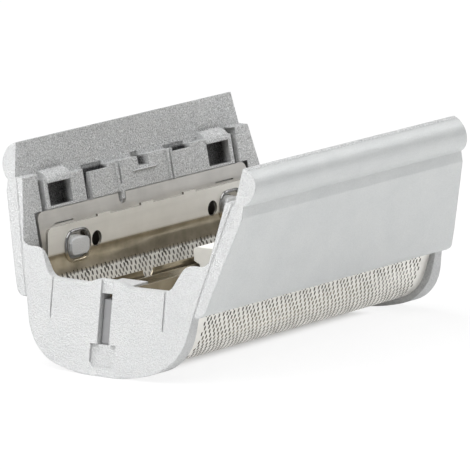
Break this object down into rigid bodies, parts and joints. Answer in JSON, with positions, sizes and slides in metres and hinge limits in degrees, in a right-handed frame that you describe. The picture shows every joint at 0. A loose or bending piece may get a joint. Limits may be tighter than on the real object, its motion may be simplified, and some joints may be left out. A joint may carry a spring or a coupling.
{
  "type": "shaver foil head",
  "caption": "Clip-on shaver head: a flared silver frame holding arched perforated foils side by side, with a slit trimmer between them.",
  "frame": {"origin": "middle of the underside, halfway along and across the head", "axes": "+X along the foils, +Y across them, +Z from the foils towards the open rim that snaps onto the shaver"},
  "size_m": [0.0458, 0.0304, 0.021],
  "materials": {
    "frame_silver": "satin",
    "foil_nickel": "polished",
    "strip_steel": "satin",
    "trimmer_steel": "satin",
    "driver_white": "satin",
    "holder_grey": "matte",
    "spring_steel": "satin"
  },
  "bodies": {
    "frame": {"outer_frame": "frame_silver", "spring_strip_left": "strip_steel", "spring_strip_right": "strip_steel", "trimmer_spring_front": "spring_steel", "trimmer_spring_rear": "spring_steel"},
    "foil_left": {"foil_left": "foil_nickel"},
    "foil_right": {"foil_right": "foil_nickel"},
    "trimmer": {"trimmer_comb": "trimmer_steel", "trimmer_holder_front": "holder_grey", "trimmer_holder_rear": "holder_grey"},
    "blade": {"trimmer_blade": "trimmer_steel", "trimmer_driver": "driver_white"}
  },
  "joints": [
    {"name": "foil_left_float", "type": "slide", "parent": "frame", "child": "foil_left", "axis": [0, 0, 1], "range_m": [-0.0004, 0.0003], "stiffness_N_per_m": 150},
    {"name": "foil_right_float", "type": "slide", "parent": "frame", "child": "foil_right", "axis": [0, 0, 1], "range_m": [-0.0004, 0.0003], "stiffness_N_per_m": 150},
    {"name": "trimmer_float", "type": "slide", "parent": "frame", "child": "trimmer", "axis": [0, 0, 1], "range_m": [0, 0.0005], "stiffness_N_per_m": 300, "springref_m": -0.0008, "deforming": ["trimmer_spring_front", "trimmer_spring_rear"]},
    {"name": "blade_slide", "type": "slide", "parent": "trimmer", "child": "blade", "axis": [1, 0, 0], "range_m": [-0.001, 0.001]}
  ]
}
